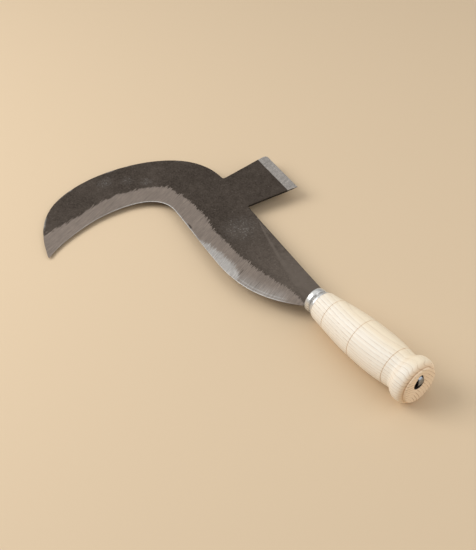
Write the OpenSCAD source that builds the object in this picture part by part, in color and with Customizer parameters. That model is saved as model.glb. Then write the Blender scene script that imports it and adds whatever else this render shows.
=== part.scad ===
// Billhook with a back axe: a forged blade, a turned handle and a ferrule.
// X runs along the handle's axis from the butt to the blade, the blade lies in the XY plane,
// and its cutting edge faces +Y. The origin is on the handle's axis, in the plane of the butt.

/* [Handle] */
// Length of the handle from the butt to the face that the ferrule seats on
handle_len = 124.6; // [100:0.2:160]
// Largest diameter of the grip
grip_d = 41.2; // [34:0.2:46]
// Distance of the grip's largest diameter from the butt
grip_at = 52; // [40:1:66]
// Diameter of the narrow neck in front of the pommel
neck_d = 36.4; // [30:0.2:40]
// Distance of the neck from the butt
neck_at = 21.8; // [18:0.2:26]
// Diameter of the handle where its shoulder starts to round off
shoulder_d = 29.6; // [27:0.2:36]
// Length of the rounded shoulder behind the ferrule
shoulder_len = 5; // [3:0.5:10]
// Diameter of the handle where it meets the ferrule
seat_d = 26.8; // [24:0.2:30]
// Diameter of the spigot inside the ferrule
spigot_d = 19.6; // [16:0.2:22]

/* [Pommel] */
// Largest diameter of the pommel's bead
pommel_d = 45.2; // [38:0.2:52]
// Distance of the bead's largest diameter from the butt
pommel_at = 10.2; // [8:0.2:14]
// Diameter of the thin disc that ends the pommel
disc_d = 38; // [34:0.2:42]
// Thickness of the disc, up to the crease beside the bead
disc_t = 1.8; // [1.4:0.1:3]
// Radius of the disc's rim
disc_round = 0.9; // [0.5:0.1:1.2]
// Depth of the crease below the disc's rim
crease_deep = 0.7; // [0.4:0.1:1.2]

/* [Scribed grooves] */
// Distances of the scribed grooves from the butt
groove_at = [28.7, 70, 107.6];
// Width of a scribed groove at the surface
groove_w = 1.2; // [0.6:0.1:2]
// Depth of a scribed groove
groove_deep = 0.6; // [0.3:0.1:1]

/* [Ferrule] */
// Length of the ferrule
ferrule_len = 11; // [9:0.2:16]
// Wall of the ferrule at the bottom of its groove
ferrule_wall = 1.6; // [1.2:0.1:2.4]
// Height of the thin bead above the groove
thin_bead_h = 1.6; // [0.8:0.1:2.4]
// Width of the thin bead against the wood
thin_bead_w = 4; // [3:0.1:5]
// Width of the groove between the beads
ferrule_groove_w = 1; // [0.6:0.1:2]
// Height of the broad bead above the groove
broad_bead_h = 1; // [0.6:0.1:2]
// How far the broad bead falls at the ferrule's front
rim_drop = 1; // [0.4:0.1:1.6]

/* [Blade] */
// Thickness of the blade
blade_t = 3; // [2.5:0.1:4]
// Length of the blade from the ferrule to the crown of the hook
blade_len = 286.5; // [250:0.5:320]
// Distance of the hook's tip from the handle's axis
hook_reach = 157; // [140:1:180]
// Width of the hook from its hollow to its crown
hook_w = 57.5; // [45:0.5:70]
// How far the hook's tip stands in front of its hollow
hook_hollow = 15.5; // [8:0.5:24]
// Breadth of the hook's blunt tip
tip_blunt = 3.4; // [2:0.2:6]
// Distance of the hollow's deepest point from the handle's axis
hollow_at = 91; // [80:1:105]
// Distance of the throat behind the hollow
throat_run = 38; // [30:1:46]
// Distance of the throat's edge from the handle's axis
throat_w = 24; // [16:1:32]
// Distance of the belly's edge from the handle's axis
belly_w = 40; // [32:1:48]
// Distance of the belly from the ferrule
belly_at = 79; // [60:1:95]
// Distance of the crown from the handle's axis
crown_at = 69; // [55:1:85]
// Distance of the blade's back from the handle's axis beside the axe
back_w = 42.6; // [38:0.2:48]
// Width of the heel on the edge side of the handle's axis
heel_edge_w = 13.3; // [12:0.1:18]
// Width of the heel on the spine side of the handle's axis
heel_spine_w = 12.6; // [11:0.1:16]

/* [Back axe] */
// Distance of the axe's root from the ferrule
axe_at = 141; // [120:0.2:150]
// Width of the axe at its root
axe_w = 50.4; // [40:0.2:60]
// Distance of the axe's far corner from the handle's axis
axe_reach = 101.5; // [85:0.5:120]
// Distance of the spine from the handle's axis at the axe's root
spine_w = 34.7; // [28:0.1:40]
// Angle by which the axe's near side flares
axe_flare = 10.5; // [0:0.5:16]
// Angle of the axe's edge to the handle's axis
axe_slant = 8.2; // [0:0.2:14]
// Radius of the axe's far corner
axe_corner = 3.5; // [1:0.5:6]
// Radius of the inside corner between the axe and the hook
notch_r = 2.5; // [1.5:0.5:4]

/* [Grind] */
// Thickness left at the cutting edges
edge_t = 0.4; // [0.3:0.1:0.8]
// Width of the bevel at the heel
bevel_heel = 4; // [3:0.5:8]
// Width of the bevel at the belly
bevel_belly = 24; // [16:0.5:28]
// Width of the bevel at the throat
bevel_throat = 20; // [14:0.5:24]
// Width of the bevel at the hollow
bevel_hollow = 16; // [12:0.5:22]
// Width of the bevel at the tip
bevel_tip = 27; // [20:0.5:32]
// Width of the bevel on the axe
bevel_axe = 12; // [8:0.5:16]

/* [Tang] */
// Thickness of the tang
tang_t = 2.6; // [2:0.1:3.4]
// Width of the tang at the ferrule
tang_w = 14; // [10:0.5:16]
// Width of the tang at the butt
tang_end_w = 6.2; // [5:0.2:7]
// Width of the clenched end at its tip
clench_end_w = 4; // [3:0.2:5]
// Height of the clenched end's tip above the handle's axis
clench_h = 13; // [10:0.2:14]
// How far the clenched end lies below the face of the butt
clench_set = 0.6; // [0.4:0.1:2]
// Inside radius of the bend in the tang
bend_r = 1.5; // [1:0.1:2.2]
// Open width of the pocket beside the tang
pocket_spare = 3.4; // [2:0.2:5]
// Open width of the pocket beside the clenched end's tip
pocket_tip_spare = 1.8; // [1:0.2:3]
// Depth of the pocket below the tang
pocket_sag = 0.2; // [0.2:0.1:2]

/* [Fits] */
// Gap between the tang and the wood, on each side
tang_gap = 0.2; // [0.1:0.05:0.4]
// Gap between the spigot and the ferrule's bore
spigot_gap = 0.1; // [0.05:0.05:0.3]
// Gap between the clenched end and its pocket
pocket_gap = 0.5; // [0.3:0.1:1]

/* [Hidden] */
$fn = 96;

// Straight steps in one curve of an outline
steps = 14;
// How far a cut reaches past the surface that it cuts
past = 2;

// Stations along the handle's axis
front_x = handle_len + ferrule_len;
crown_x = front_x + blade_len;
hollow_x = crown_x - hook_w;
axe_near_x = front_x + axe_at;
axe_far_x = axe_near_x + axe_w;

// Radii about the handle's axis
spigot_r = spigot_d / 2;
bore_r = spigot_r + spigot_gap;
groove_r = bore_r + ferrule_wall;
thin_bead_r = groove_r + thin_bead_h;
broad_bead_r = groove_r + broad_bead_h;

// Points and curves

function heading(a) = [cos(a), sin(a)];

function cubic(p, t) =
    pow(1 - t, 3) * p[0] + 3 * pow(1 - t, 2) * t * p[1] + 3 * (1 - t) * t * t * p[2] + pow(t, 3) * p[3];

// A curve leaves a at heading ha and comes to b at heading hb. The pulls say how long it keeps
// to each heading, as shares of the distance from a to b. Its first point is left out.
function curve(a, ha, pull_a, b, hb, pull_b, n = steps) =
    let (d = norm(b - a))
    [for (i = [1 : n]) cubic([a, a + d * pull_a * heading(ha), b - d * pull_b * heading(hb), b], i / n)];

function arc(c, r, from, to, n = steps) = [for (i = [0 : n]) c + r * heading(from + (to - from) * i / n)];

// Where the line through a at heading ha meets the line through b at heading hb
function meet(a, ha, b, hb) =
    let (u = heading(ha), v = heading(hb), w = b - a)
    a + u * (w[0] * v[1] - w[1] * v[0]) / (u[0] * v[1] - u[1] * v[0]);

// Bevel widths along one curve of the cutting edge
function even(a, b) = [for (i = [1 : steps]) a + (b - a) * i / steps];

// The same, but widening fast at first
function eased(a, b) = [for (i = [1 : steps]) b - (b - a) * pow(1 - i / steps, 4)];

// Blade outline

heel = [front_x, heel_edge_w];
belly = [front_x + belly_at, belly_w];
throat = [hollow_x - throat_run, throat_w];
hollow = [hollow_x, hollow_at];
tip = [hollow_x - hook_hollow, hook_reach];
crown = [crown_x, crown_at];
heel_lift = 38.5;
tip_lean = 119;
back_lean = -19;
nose = tip + tip_blunt * heading(14);
notch = [axe_far_x + notch_r, -back_w];
notch_lean = 174;

// The cutting edge from the heel to the tip of the hook
cutting_edge = concat(
    [heel],
    curve(heel, heel_lift, 0.54, belly, 0, 0.17),
    curve(belly, 0, 0.185, throat, 0, 0.106),
    curve(throat, 0, 0.47, hollow, 90, 0.16),
    curve(hollow, 90, 0.1, tip, tip_lean, 0.38));

bevel_widths = concat(
    [bevel_heel],
    eased(bevel_heel, bevel_belly),
    even(bevel_belly, bevel_throat),
    even(bevel_throat, bevel_hollow),
    even(bevel_hollow, bevel_tip));

// The blade's back from the tip to the inside corner at the axe
blade_back = concat(
    curve(tip, tip_lean, 0.6, nose, back_lean, 0.6, 5),
    curve(nose, back_lean, 0.425, crown, -90, 0.46),
    curve(crown, -90, 0.28, notch, notch_lean, 0.46));

// The axe, from the inside corner round its edge to the spine
axe_root = [axe_near_x, -spine_w];
axe_far = [axe_far_x, -axe_reach];
axe_near = meet(axe_root, -90 - axe_flare, axe_far, 180 - axe_slant);
// The rounded corner touches both sides, so its middle lies on the lines set in from them
axe_corner_c = meet(
    [axe_far_x - axe_corner, 0], -90,
    axe_far + axe_corner * heading(90 - axe_slant), 180 - axe_slant);
axe_outline = concat(
    arc(notch + [0, -notch_r], notch_r, 90, 180, 5),
    arc(axe_corner_c, axe_corner, 0, -90 - axe_slant, 6),
    [axe_near, axe_root]);

// The tang runs from the heel to where it bends
bend_x = clench_set + tang_t + bend_r;
tang_outline = [
    [front_x + past, -tang_w / 2],
    [bend_x, -tang_end_w / 2],
    [bend_x, tang_end_w / 2],
    [front_x + past, tang_w / 2]];

// Handle profile, as [radius, distance from the butt]

disc_r = disc_d / 2;
crease = [disc_r - crease_deep, disc_t];
bead = [pommel_d / 2, pommel_at];
neck = [neck_d / 2, neck_at];
grip = [grip_d / 2, grip_at];
shoulder = [shoulder_d / 2, handle_len - shoulder_len];
seat = [seat_d / 2, handle_len];

grip_profile = concat(
    [neck],
    curve(neck, 84, 0.25, grip, 90, 0.5),
    curve(grip, 90, 0.42, shoulder, 98, 0.4),
    curve(shoulder, 98, 0.4, seat, 140, 0.3, 6));

handle_profile = concat(
    [[0, 0]],
    arc([disc_r - disc_round, disc_round], disc_round, -90, 0, 5),
    [crease],
    curve(crease, 16, 0.4, bead, 90, 0.5, 10),
    curve(bead, 90, 0.5, neck, 90, 0.35),
    grip_profile,
    [[spigot_r, handle_len], [spigot_r, front_x - spigot_gap], [0, front_x - spigot_gap]]);

// Distance to radius along the grip
grip_radii = [for (p = grip_profile) [p[1], p[0]]];

// Ferrule profile, as [radius, distance from its seat]

thin_root = [thin_bead_r - thin_bead_h / 4, 0];
thin_top = [thin_bead_r, thin_bead_w / 3];
groove_near = [groove_r, thin_bead_w];
groove_far = [groove_r, thin_bead_w + ferrule_groove_w];
broad_top = [broad_bead_r, (groove_far[1] + ferrule_len) / 2];
rim = [broad_bead_r - rim_drop, ferrule_len];
ferrule_profile = concat(
    [[bore_r, 0], thin_root],
    curve(thin_root, 30, 0.4, thin_top, 90, 0.4, 5),
    curve(thin_top, 90, 0.5, groove_near, 130, 0.3, 6),
    [groove_far],
    curve(groove_far, 40, 0.4, broad_top, 90, 0.5, 6),
    curve(broad_top, 90, 0.5, rim, 160, 0.4, 8),
    [[bore_r, ferrule_len]]);

// Turned solids lie along the handle's axis
module turned(profile) {
    rotate([0, 90, 0])
        rotate_extrude()
            polygon(profile);
}

// Flat plate, half of it on each side of the blade's plane
module plate(outline, thickness) {
    translate([0, 0, -thickness / 2])
        linear_extrude(thickness)
            polygon(outline);
}

// Grinding cut along an edge. Each section is a wedge: it starts under the blade's face, as far
// in as the bevel is wide, and runs out past the edge.
module grind(edge, widths) {
    last = len(edge) - 1;
    half = blade_t / 2;
    rise = half - edge_t / 2;
    sections = [
        for (i = [0 : last])
            let (
                along = edge[min(i + 1, last)] - edge[max(i - 1, 0)],
                inward = [along[1], -along[0]] / norm(along),
                slope = rise / widths[i],
                outer = edge[i] - past * inward,
                inner = edge[i] + (widths[i] + past) * inward,
                high = half + slope * past
            )
            each [
                [inner[0], inner[1], high],
                [outer[0], outer[1], edge_t / 2 - slope * past],
                [outer[0], outer[1], high + past]
            ]
    ];
    sides = [
        for (i = [0 : last - 1], k = [0 : 2])
            let (a = 3 * i + k, b = 3 * i + (k + 1) % 3)
            each [[a, b + 3, b], [a, a + 3, b + 3]]
    ];
    ends = [[0, 1, 2], [3 * last + 2, 3 * last + 1, 3 * last]];
    polyhedron(points = sections, faces = concat(sides, ends));
}

// A path with both of its ends drawn out straight
function drawn_out(path, by) =
    let (
        n = len(path) - 1,
        first = (path[0] - path[1]) / norm(path[0] - path[1]),
        end = (path[n] - path[n - 1]) / norm(path[n] - path[n - 1])
    )
    concat([path[0] + by * first], path, [path[n] + by * end]);

module both_faces() {
    children();
    mirror([0, 0, 1])
        children();
}

// A bar with round ends, set up across the handle's axis. Its ends are [radius, [across, up]].
module upright_bar(from_x, length, low, high) {
    r = [low[0], high[0]];
    c = [low[1], high[1]];
    translate([from_x, 0, 0])
        rotate([90, 0, 90])
            linear_extrude(length) {
                for (i = [0, 1])
                    translate(c[i])
                        circle(r[i]);
                polygon([c[0] - [r[0], 0], c[0] + [r[0], 0], c[1] + [r[1], 0], c[1] - [r[1], 0]]);
            }
}

// The tang's end turns up out of the blade's plane and tapers to a rounded tip
module clenched_end() {
    half_w = tang_end_w / 2;
    tip_r = clench_end_w / 2;
    bend_c = [bend_x, 0, tang_t / 2 + bend_r];
    translate(bend_c)
        rotate([90, 180, 0])
            rotate_extrude(angle = 90)
                translate([bend_r, -half_w])
                    square([tang_t, tang_end_w]);
    intersection() {
        upright_bar(clench_set, tang_t, [half_w, [0, bend_c[2]]], [tip_r, [0, clench_h - tip_r]]);
        translate([0, -half_w, bend_c[2]])
            cube([bend_x, tang_end_w, clench_h]);
    }
}

module blade() {
    run_out = 3 * past;
    edge = concat(cutting_edge, [tip + run_out * heading(tip_lean)]);
    color("#4a413a") {
        difference() {
            plate(concat(cutting_edge, blade_back, axe_outline, [[front_x, -heel_spine_w]]), blade_t);
            both_faces()
                grind(edge, concat(bevel_widths, [bevel_tip]));
            both_faces()
                grind(drawn_out([axe_far, axe_near], run_out), [for (i = [0 : 3]) bevel_axe]);
        }
        plate(tang_outline, tang_t);
        clenched_end();
    }
}

module ferrule() {
    color("#d0d0cc")
        translate([handle_len, 0, 0])
            turned(ferrule_profile);
}

// Slot that the tang fills, open at both ends of the handle
module tang_slot() {
    wide = tang_w / 2 + tang_gap;
    narrow = tang_end_w / 2 + tang_gap;
    outline = [
        [-past, -narrow], [bend_x, -narrow], [front_x, -wide],
        [front_x, wide], [bend_x, narrow], [-past, narrow]];
    plate(outline, tang_t + 2 * tang_gap);
}

// Pocket in the butt for the clenched end, wider than it on the edge side
module pocket() {
    low_r = (tang_end_w + pocket_spare) / 2 + pocket_gap;
    high_r = (clench_end_w + pocket_tip_spare) / 2 + pocket_gap;
    low_c = [pocket_spare / 2, low_r - pocket_sag - tang_t / 2];
    high_c = [pocket_tip_spare / 2, clench_h - clench_end_w / 2];
    upright_bar(-past, past + bend_x + pocket_gap, [low_r, low_c], [high_r, high_c]);
}

module scribed_groove(at) {
    r = lookup(at, grip_radii);
    flare = groove_w / 2 / groove_deep;
    turned([
        [r - groove_deep, at],
        [r + past, at - flare * (past + groove_deep)],
        [r + past, at + flare * (past + groove_deep)]]);
}

module handle() {
    color("#e6d3b3")
        difference() {
            turned(handle_profile);
            tang_slot();
            pocket();
            for (at = groove_at)
                scribed_groove(at);
        }
}

blade();
ferrule();
handle();
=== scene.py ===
"""Billhook with a back axe: a forged blade, a plated ferrule and a turned handle of pale wood."""

import math

import bmesh
import bpy
import numpy as np
from mathutils import Matrix, Vector, geometry, noise


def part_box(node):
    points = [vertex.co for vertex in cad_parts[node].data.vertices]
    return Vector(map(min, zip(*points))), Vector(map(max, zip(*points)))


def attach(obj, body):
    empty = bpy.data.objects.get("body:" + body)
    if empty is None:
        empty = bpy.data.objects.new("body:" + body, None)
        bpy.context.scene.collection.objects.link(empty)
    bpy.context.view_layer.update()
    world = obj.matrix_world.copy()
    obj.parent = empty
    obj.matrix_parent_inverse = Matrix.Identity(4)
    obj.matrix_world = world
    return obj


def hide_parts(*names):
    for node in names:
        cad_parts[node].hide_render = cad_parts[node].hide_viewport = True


bl_info = {
    "name": "Billhook",
    "version": (1, 0, 0),
    "blender": (4, 5, 0),
    "location": "3D View > Sidebar > Billhook",
    "description": "Builds a billhook with a back axe, its materials and a plain studio stage",
    "category": "Add Mesh",
}

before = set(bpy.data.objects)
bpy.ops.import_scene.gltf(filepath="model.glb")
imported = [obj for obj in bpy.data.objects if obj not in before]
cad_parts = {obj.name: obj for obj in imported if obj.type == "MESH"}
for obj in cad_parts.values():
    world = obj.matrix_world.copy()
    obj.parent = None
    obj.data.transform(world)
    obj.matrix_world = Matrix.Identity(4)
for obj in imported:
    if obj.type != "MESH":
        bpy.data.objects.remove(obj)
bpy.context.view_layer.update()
blade_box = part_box("blade")
ferrule_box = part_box("ferrule")
handle_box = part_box("handle")

# Pieces are drawn in millimetres, in the frame of the CAD model, and scaled once they are done
MM = 0.001
AXIS = Vector((1.0, 0.0, 0.0))
# Distance at which points of a drawing are joined, and at which a point counts as lying in a plane
WELD = 0.001
NEAR = 0.01
# Steps of a full turn about the handle's axis
TURNED_STEPS = 128


def srgb(red, green, blue):
    """Scene-linear colour of a colour given as 0 to 255 on a screen."""
    def linear(value):
        share = value / 255.0
        return share / 12.92 if share <= 0.04045 else ((share + 0.055) / 1.055) ** 2.4
    return linear(red), linear(green), linear(blue)


# Settings

def length(name, description, default):
    return bpy.props.FloatProperty(
        name=name, description=description, default=default, min=0.0, unit='LENGTH', precision=5)


def colour(name, description, red, green, blue):
    return bpy.props.FloatVectorProperty(
        name=name, description=description, default=srgb(red, green, blue),
        subtype='COLOR', size=3, min=0.0, max=1.0)


class BladeSettings(bpy.types.PropertyGroup):
    front: length("Front", "Where the blade leaves the ferrule, from the butt", ferrule_box[1].x)
    crown: length("Crown", "Where the hook reaches farthest, from the butt", blade_box[1].x)
    thick: length("Thickness", "Thickness of the blade", 0.003)
    hook_reach: length("Hook reach", "Distance of the hook's tip from the handle's axis", 0.157)
    axe_reach: length("Axe reach", "Distance of the axe's far corner from the handle's axis", 0.1015)
    edge_thick: length("Edge", "Thickness left at the cutting edges", 0.0004)
    arris: length("Arris", "Radius worn onto the blade's other edges", 0.0006)
    axe_bevel: length("Axe bevel", "Width of the bevel on the axe", 0.012)
    pitch: length("Pitch", "Distance between the lines of the blade's mesh", 0.0018)
    tang_thick: length("Tang thickness", "Thickness of the tang", 0.0026)
    tang_wide: length("Tang width", "Width of the tang at the ferrule", 0.014)
    tang_end: length("Tang end", "Width of the tang at the butt", 0.0062)
    clench_top: length("Clench", "Height of the clenched end above the handle's axis", blade_box[1].z)
    clench_set: length("Clench depth", "How far the clenched end lies below the butt", blade_box[0].x)
    scale_dark: colour("Dark scale", "Forge scale where it is thick", 47, 38, 30)
    scale_light: colour("Light scale", "Forge scale where it is thin", 112, 101, 91)
    # The narrow sides' colour is a painted shade, darker than their scale
    wall_shade: colour("Edge scale", "Black scale on the blade's narrow sides", 6, 4, 3)
    # The facet's colour also shows its painted sheen and ridge highlight
    facet: colour("Hammered facet", "Thin scale along the spine", 102, 92, 83)
    ground: colour("Ground steel", "Steel of the ground bevels", 137, 125, 115)
    honed: colour("Honed steel", "Steel of the bright strip at the edge", 188, 184, 179)
    clench: colour("Clenched end", "Hammered steel of the tang's end", 156, 161, 168)


class FerruleSettings(bpy.types.PropertyGroup):
    seat: length("Seat", "Where the ferrule seats on the handle, from the butt", ferrule_box[0].x)
    front: length("Front", "Where the ferrule ends, from the butt", ferrule_box[1].x)
    bead: length("Bead", "Radius of the thin bead against the wood", ferrule_box[1].y)
    bore: length("Bore", "Radius of the bore", 0.0099)
    plate: colour("Plate", "Bright plating", 226, 225, 222)
    # Colour of the smudges, and of the darker band painted into the groove
    darkening: colour("Grime", "Dirt in the groove", 66, 56, 46)


class HandleSettings(bpy.types.PropertyGroup):
    front: length("Front", "Where the spigot ends, from the butt", handle_box[1].x)
    seat: length("Seat", "Where the ferrule seats on the handle, from the butt", ferrule_box[0].x)
    pommel: length("Pommel", "Radius of the pommel's bead", handle_box[1].y)
    disc: length("Disc", "Radius of the thin disc that ends the pommel", 0.0187)
    neck: length("Neck", "Radius of the neck in front of the pommel", 0.0182)
    grip: length("Grip", "Largest radius of the grip", 0.0206)
    shoulder: length("Shoulder", "Radius where the shoulder starts to round off", 0.0148)
    groove: length("Groove", "Depth of the scribed grooves", 0.00045)
    pale: colour("Pale wood", "Wood between the growth lines", 253, 246, 233)
    # Warm wood farther from the pith, and a painted warm bounce light on that side
    warm_wood_and_light: colour("Warm wood", "Wood on the side that was farthest from the pith", 254, 238, 210)
    late: colour("Late wood", "Wood at the end of each year's growth", 236, 213, 181)
    pore: colour("Pores", "Lines of open pores", 186, 158, 126)
    # Also the painted warm shade on faces turned towards the butt
    end: colour("End grain", "Wood cut across its fibres", 247, 222, 190)
    # Also the painted shade in the crease between the disc and the bead
    scorch_and_shade: colour("Groove", "Wood at the bottom of the grooves", 184, 146, 106)
    # Painted shade on the walls of the pocket
    burn: colour("Burnt wood", "Wood burnt by the hot tang in the pocket", 34, 20, 11)


class StageSettings(bpy.types.PropertyGroup):
    floor: colour("Floor", "Plain floor", 222, 198, 165)
    lens: bpy.props.FloatProperty(
        name="Lens", description="Focal length for a sensor 36 mm high", default=66.24, unit='CAMERA')
    key: bpy.props.FloatProperty(
        name="Key light", description="Power of the softbox at the left", default=13.0, unit='POWER')
    top: bpy.props.FloatProperty(
        name="Top light", description="Power of the softbox overhead", default=4.0, unit='POWER')
    side: bpy.props.FloatProperty(
        name="Side light", description="Power of the softbox at the right", default=8.5, unit='POWER')
    sky: bpy.props.FloatProperty(
        name="Fill light", description="Level of the even light all round", default=0.33, min=0.0)


class BillhookSettings(bpy.types.PropertyGroup):
    blade: bpy.props.PointerProperty(type=BladeSettings, name="Blade", description="Forged blade")
    ferrule: bpy.props.PointerProperty(type=FerruleSettings, name="Ferrule", description="Plated ring")
    handle: bpy.props.PointerProperty(type=HandleSettings, name="Handle", description="Turned handle")
    stage: bpy.props.PointerProperty(type=StageSettings, name="Stage", description="Floor and light")


# Nodes

# Places of a Mix node's sockets for colours, which share their names with its other sockets
MIX_FACTOR = 0
MIX_LOW = 6
MIX_HIGH = 7
MIX_COLOUR = 2
# Share of a band's squared half width within which it is at its full height
BAND_FULL = 0.2


class Wire:
    """A node's socket that takes part in arithmetic; without a socket it only adds nodes."""

    def __init__(self, tree, socket=None):
        self.tree = tree
        self.socket = socket

    def node(self, kind, settings, inputs, output=0):
        """Add a node: its settings first, then its socket values and links."""
        made = self.tree.nodes.new(kind)
        for name, value in settings.items():
            setattr(made, name, value)
        for key, value in inputs.items():
            feed(self.tree, value, made.inputs[key])
        return Wire(self.tree, made.outputs[output])

    def arithmetic(self, operation, first, second):
        kinds = {side.socket.type for side in (first, second) if isinstance(side, Wire)}
        if 'RGBA' in kinds:
            return self.node(
                "ShaderNodeMix", {"data_type": 'RGBA', "blend_type": operation},
                {MIX_FACTOR: 1.0, MIX_LOW: first, MIX_HIGH: second}, MIX_COLOUR)
        kind = "ShaderNodeVectorMath" if 'VECTOR' in kinds else "ShaderNodeMath"
        return self.node(kind, {"operation": operation}, {0: first, 1: second})

    def __add__(self, other):
        return self.arithmetic('ADD', self, other)

    def __radd__(self, other):
        return self.arithmetic('ADD', other, self)

    def __sub__(self, other):
        return self.arithmetic('SUBTRACT', self, other)

    def __rsub__(self, other):
        return self.arithmetic('SUBTRACT', other, self)

    def __mul__(self, other):
        return self.arithmetic('MULTIPLY', self, other)

    def __rmul__(self, other):
        return self.arithmetic('MULTIPLY', other, self)

    def __truediv__(self, other):
        return self.arithmetic('DIVIDE', self, other)

    def __rtruediv__(self, other):
        return self.arithmetic('DIVIDE', other, self)

    def smaller(self, other):
        return self.arithmetic('MINIMUM', self, other)

    def larger(self, other):
        return self.arithmetic('MAXIMUM', self, other)

    def step(self, start, end):
        """Rise smoothly from 0 at start to 1 at end; start may be the larger of the two."""
        return self.node(
            "ShaderNodeMapRange", {"interpolation_type": 'SMOOTHSTEP'},
            {"Value": self, "From Min": start, "From Max": end})

    def blend(self, low, high):
        """Mix two colours by this factor."""
        return self.node(
            "ShaderNodeMix", {"data_type": 'RGBA'},
            {MIX_FACTOR: self, MIX_LOW: low, MIX_HIGH: high}, MIX_COLOUR)

    def band(self, middle, half):
        """1 near a value, falling to 0 at half a width from it."""
        apart = self - middle
        return (apart * apart).step(half * half, half * half * BAND_FULL)

    def dot(self, other):
        return self.node("ShaderNodeVectorMath", {"operation": 'DOT_PRODUCT'}, {0: self, 1: other}, "Value")

    def distance(self, other):
        return self.node("ShaderNodeVectorMath", {"operation": 'DISTANCE'}, {0: self, 1: other}, "Value")

    def part(self, axis):
        return self.node("ShaderNodeSeparateXYZ", {}, {0: self}, "XYZ".index(axis))

    def speckle(self, size, detail=2.0, rough=0.5):
        """Noise on these coordinates with features of about the given size."""
        spaced = self / size
        return self.node(
            "ShaderNodeTexNoise", {"noise_dimensions": '3D'},
            {"Vector": spaced, "Scale": 1.0, "Detail": detail, "Roughness": rough})

    def bump(self, height, strength=1.0):
        """Normal of a surface whose height in millimetres is this value times height."""
        return self.node(
            "ShaderNodeBump", {}, {"Strength": strength, "Distance": height * MM, "Height": self})


def feed(tree, value, socket):
    """Link a wire to a socket, or set a plain value on it."""
    if isinstance(value, Wire):
        tree.links.new(value.socket, socket)
        return
    if socket.type == 'VECTOR' and isinstance(value, float):
        value = (value, value, value)
    if socket.type == 'RGBA':
        value = (value, value, value) if isinstance(value, float) else tuple(value)
        value = (*value[:3], 1.0)
    socket.default_value = value


class Finish:
    """A new material with its shader, its coordinates in millimetres and its attributes."""

    def __init__(self, name):
        self.material = bpy.data.materials.new(name)
        self.material.use_nodes = True
        self.tree = self.material.node_tree
        self.shader = self.tree.nodes["Principled BSDF"]
        self.place = Wire(self.tree).node("ShaderNodeTexCoord", {}, {}, "Object") * (1.0 / MM)

    def attribute(self, name):
        return self.place.node("ShaderNodeAttribute", {"attribute_name": name}, {}, "Fac")

    def vector(self, x, y, z):
        return self.place.node("ShaderNodeCombineXYZ", {}, {0: x, 1: y, 2: z})

    def set(self, **sockets):
        for name, value in sockets.items():
            feed(self.tree, value, self.shader.inputs[name.replace("_", " ")])


# Drawing

def heading(degrees, reach=1.0):
    """A vector of the given length at an angle from the first axis."""
    angle = math.radians(degrees)
    return Vector((math.cos(angle), math.sin(angle))) * reach


def bend(start, end, leave, pull_out, arrive, pull_in, steps):
    """A curve that leaves start and reaches end at two headings, without its first point.

    The pulls say how long it keeps to each heading, as shares of the distance.
    """
    reach = (end - start).length
    first = start + heading(leave, reach * pull_out)
    second = end - heading(arrive, reach * pull_in)
    return geometry.interpolate_bezier(start, first, second, end, steps + 1)[1:]


def trace(stops, curves):
    """Join stops by curves, each given as (heading out, pull out, heading in, pull in, steps)."""
    path = [stops[0]]
    for start, end, curve in zip(stops, stops[1:], curves):
        path += bend(start, end, *curve)
    return path


def arc(centre, radius, start, end, steps):
    turn = (end - start) / steps
    return [centre + heading(start + turn * i, radius) for i in range(steps + 1)]


def meet(first, first_heading, second, second_heading):
    """Where two lines cross."""
    far = 1000.0
    return geometry.intersect_line_line_2d(
        first - heading(first_heading, far), first + heading(first_heading, far),
        second - heading(second_heading, far), second + heading(second_heading, far))


def along(points, path):
    """For each point, the run along a path to its nearest place there and the gap to it."""
    path = np.array([tuple(p) for p in path])
    start = path[:-1]
    step = path[1:] - start
    reach = np.hypot(step[:, 0], step[:, 1])
    before = np.concatenate([[0.0], np.cumsum(reach)[:-1]])
    offset = points[:, None, :] - start[None]
    share = np.clip((offset * step).sum(2) / reach ** 2, 0.0, 1.0)
    apart = offset - share[..., None] * step
    gap = np.hypot(apart[..., 0], apart[..., 1])
    nearest = gap.argmin(1)
    row = np.arange(len(points))
    return before[nearest] + share[row, nearest] * reach[nearest], gap[row, nearest]


def table(stations, values):
    """Values read from a list of (station, value) pairs."""
    return np.interp(values, [s for s, _ in stations], [v for _, v in stations])


def spin(bm, profile):
    """Turn a profile of (radius, station) points about the handle's axis."""
    verts = [bm.verts.new((p[1], p[0], 0.0)) for p in profile]
    edges = [bm.edges.new(pair) for pair in zip(verts, verts[1:])]
    bmesh.ops.spin(
        bm, geom=verts + edges, cent=(0.0, 0.0, 0.0), axis=AXIS,
        angle=math.tau, steps=TURNED_STEPS, use_merge=True)


def finish_piece(bm, name, node, material, sharp):
    """Close the drawing of a piece: check it, make its object and place it in the frame."""
    bmesh.ops.recalc_face_normals(bm, faces=bm.faces)
    open_edges = sum(1 for e in bm.edges if not e.is_manifold)
    if open_edges:
        raise RuntimeError(f"{name} has {open_edges} edges that aren't closed")
    bmesh.ops.scale(bm, vec=(MM, MM, MM), verts=bm.verts)
    for face in bm.faces:
        face.smooth = True
    mesh = bpy.data.meshes.new(name)
    bm.to_mesh(mesh)
    bm.free()
    mesh.set_sharp_from_angle(angle=math.radians(sharp))
    mesh.materials.append(material)
    piece = bpy.data.objects.new(name, mesh)
    bpy.context.collection.objects.link(piece)
    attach(piece, "root")
    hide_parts(node)


# Blade

# Outline of the blade: (along from the ferrule, across from the handle's axis)
HEEL = (0.0, 13.3)
HEEL_BACK = (0.0, -12.6)
BELLY = (79.0, 40.0)
AXE_ROOT = (141.0, -34.7)
# Outline of the hook: how far back from the crown the hollow lies, how far back from the hollow the
# throat and the tip lie, and how far across from the handle's axis
CROWN_ACROSS = 69.0
HOLLOW = (57.5, 91.0)
THROAT = (38.0, 24.0)
TIP_BACK = 15.5
TIP_BLUNT = 3.4
TIP_HEADING = 14
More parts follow.
